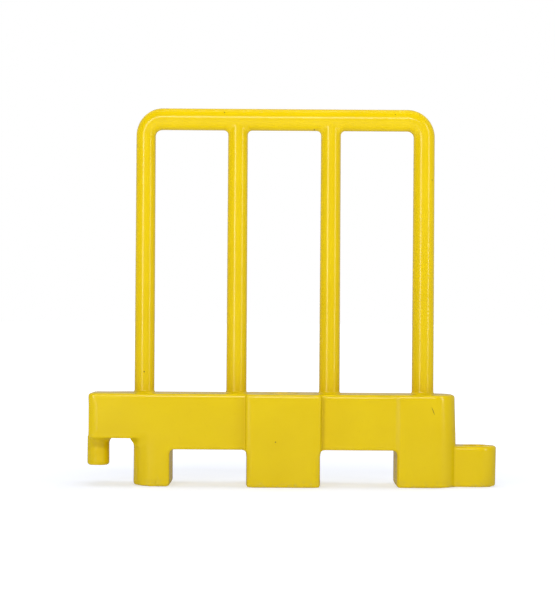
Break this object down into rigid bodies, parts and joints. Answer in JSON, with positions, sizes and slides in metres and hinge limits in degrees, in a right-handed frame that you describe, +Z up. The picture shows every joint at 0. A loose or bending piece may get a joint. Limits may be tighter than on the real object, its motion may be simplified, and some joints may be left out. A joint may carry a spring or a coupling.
{
  "type": "crowd control barrier",
  "caption": "Free-standing moulded plastic barrier: hollow footed base, tubular hoop with inner uprights, and a peg and socket that couple it to the next one.",
  "frame": {"origin": "on the ground, under the middle of the barrier's bounding box", "axes": "+X along the barrier from its peg to its socket, +Y towards the back, +Z up"},
  "size_m": [1.0866, 0.2, 1],
  "materials": {
    "moulding_yellow": "satin rotationally moulded polyethylene, coloured through, faintly rippled, with small pits and scuffs",
    "closure_yellow": "injection moulded polyethylene, a little glossier than the body",
    "plug_black": "black moulded polypropylene with a fine matt texture",
    "seal_rubber": "dark grey nitrile rubber"
  },
  "bodies": {
    "barrier": {"left_overhang_arm": "moulding_yellow", "left_leg": "moulding_yellow", "left_bridge_panel": "moulding_yellow", "middle_leg": "moulding_yellow", "right_bridge_panel": "moulding_yellow", "right_leg": "moulding_yellow", "socket_ledge": "moulding_yellow", "socket_sleeve": "moulding_yellow", "coupling_peg": "moulding_yellow", "left_outer_upright": "moulding_yellow", "left_inner_upright": "moulding_yellow", "right_inner_upright": "moulding_yellow", "right_outer_upright": "moulding_yellow", "top_rail": "moulding_yellow", "filler_insert": "closure_yellow", "drain_insert": "closure_yellow"},
    "filler_seal": {"filler_seal": "seal_rubber"},
    "filler_cap": {"filler_cap": "closure_yellow"},
    "drain_seal": {"drain_seal": "seal_rubber"},
    "drain_plug": {"drain_plug": "plug_black"}
  },
  "joints": [
    {"name": "filler_lift", "type": "slide", "parent": "barrier", "child": "filler_seal", "axis": [0, 0, 1], "range_m": [0, 0.014]},
    {"name": "filler_turn", "type": "hinge", "parent": "filler_seal", "child": "filler_cap", "pos_m": [-0.0197, 0, 0.243], "axis": [0, 0, 1], "range_deg": [0, 1260]},
    {"name": "drain_lift", "type": "slide", "parent": "barrier", "child": "drain_seal", "axis": [0, 1, 0], "range_m": [0, 0.009]},
    {"name": "drain_turn", "type": "hinge", "parent": "drain_seal", "child": "drain_plug", "pos_m": [-0.0197, 0.1, 0.031], "axis": [0, 1, 0], "range_deg": [0, 1080]}
  ],
  "couplings": [
    {"joint": "filler_lift", "follows": "filler_turn", "m_per_rad": 0.0006366},
    {"joint": "drain_lift", "follows": "drain_turn", "m_per_rad": 0.0004774}
  ]
}
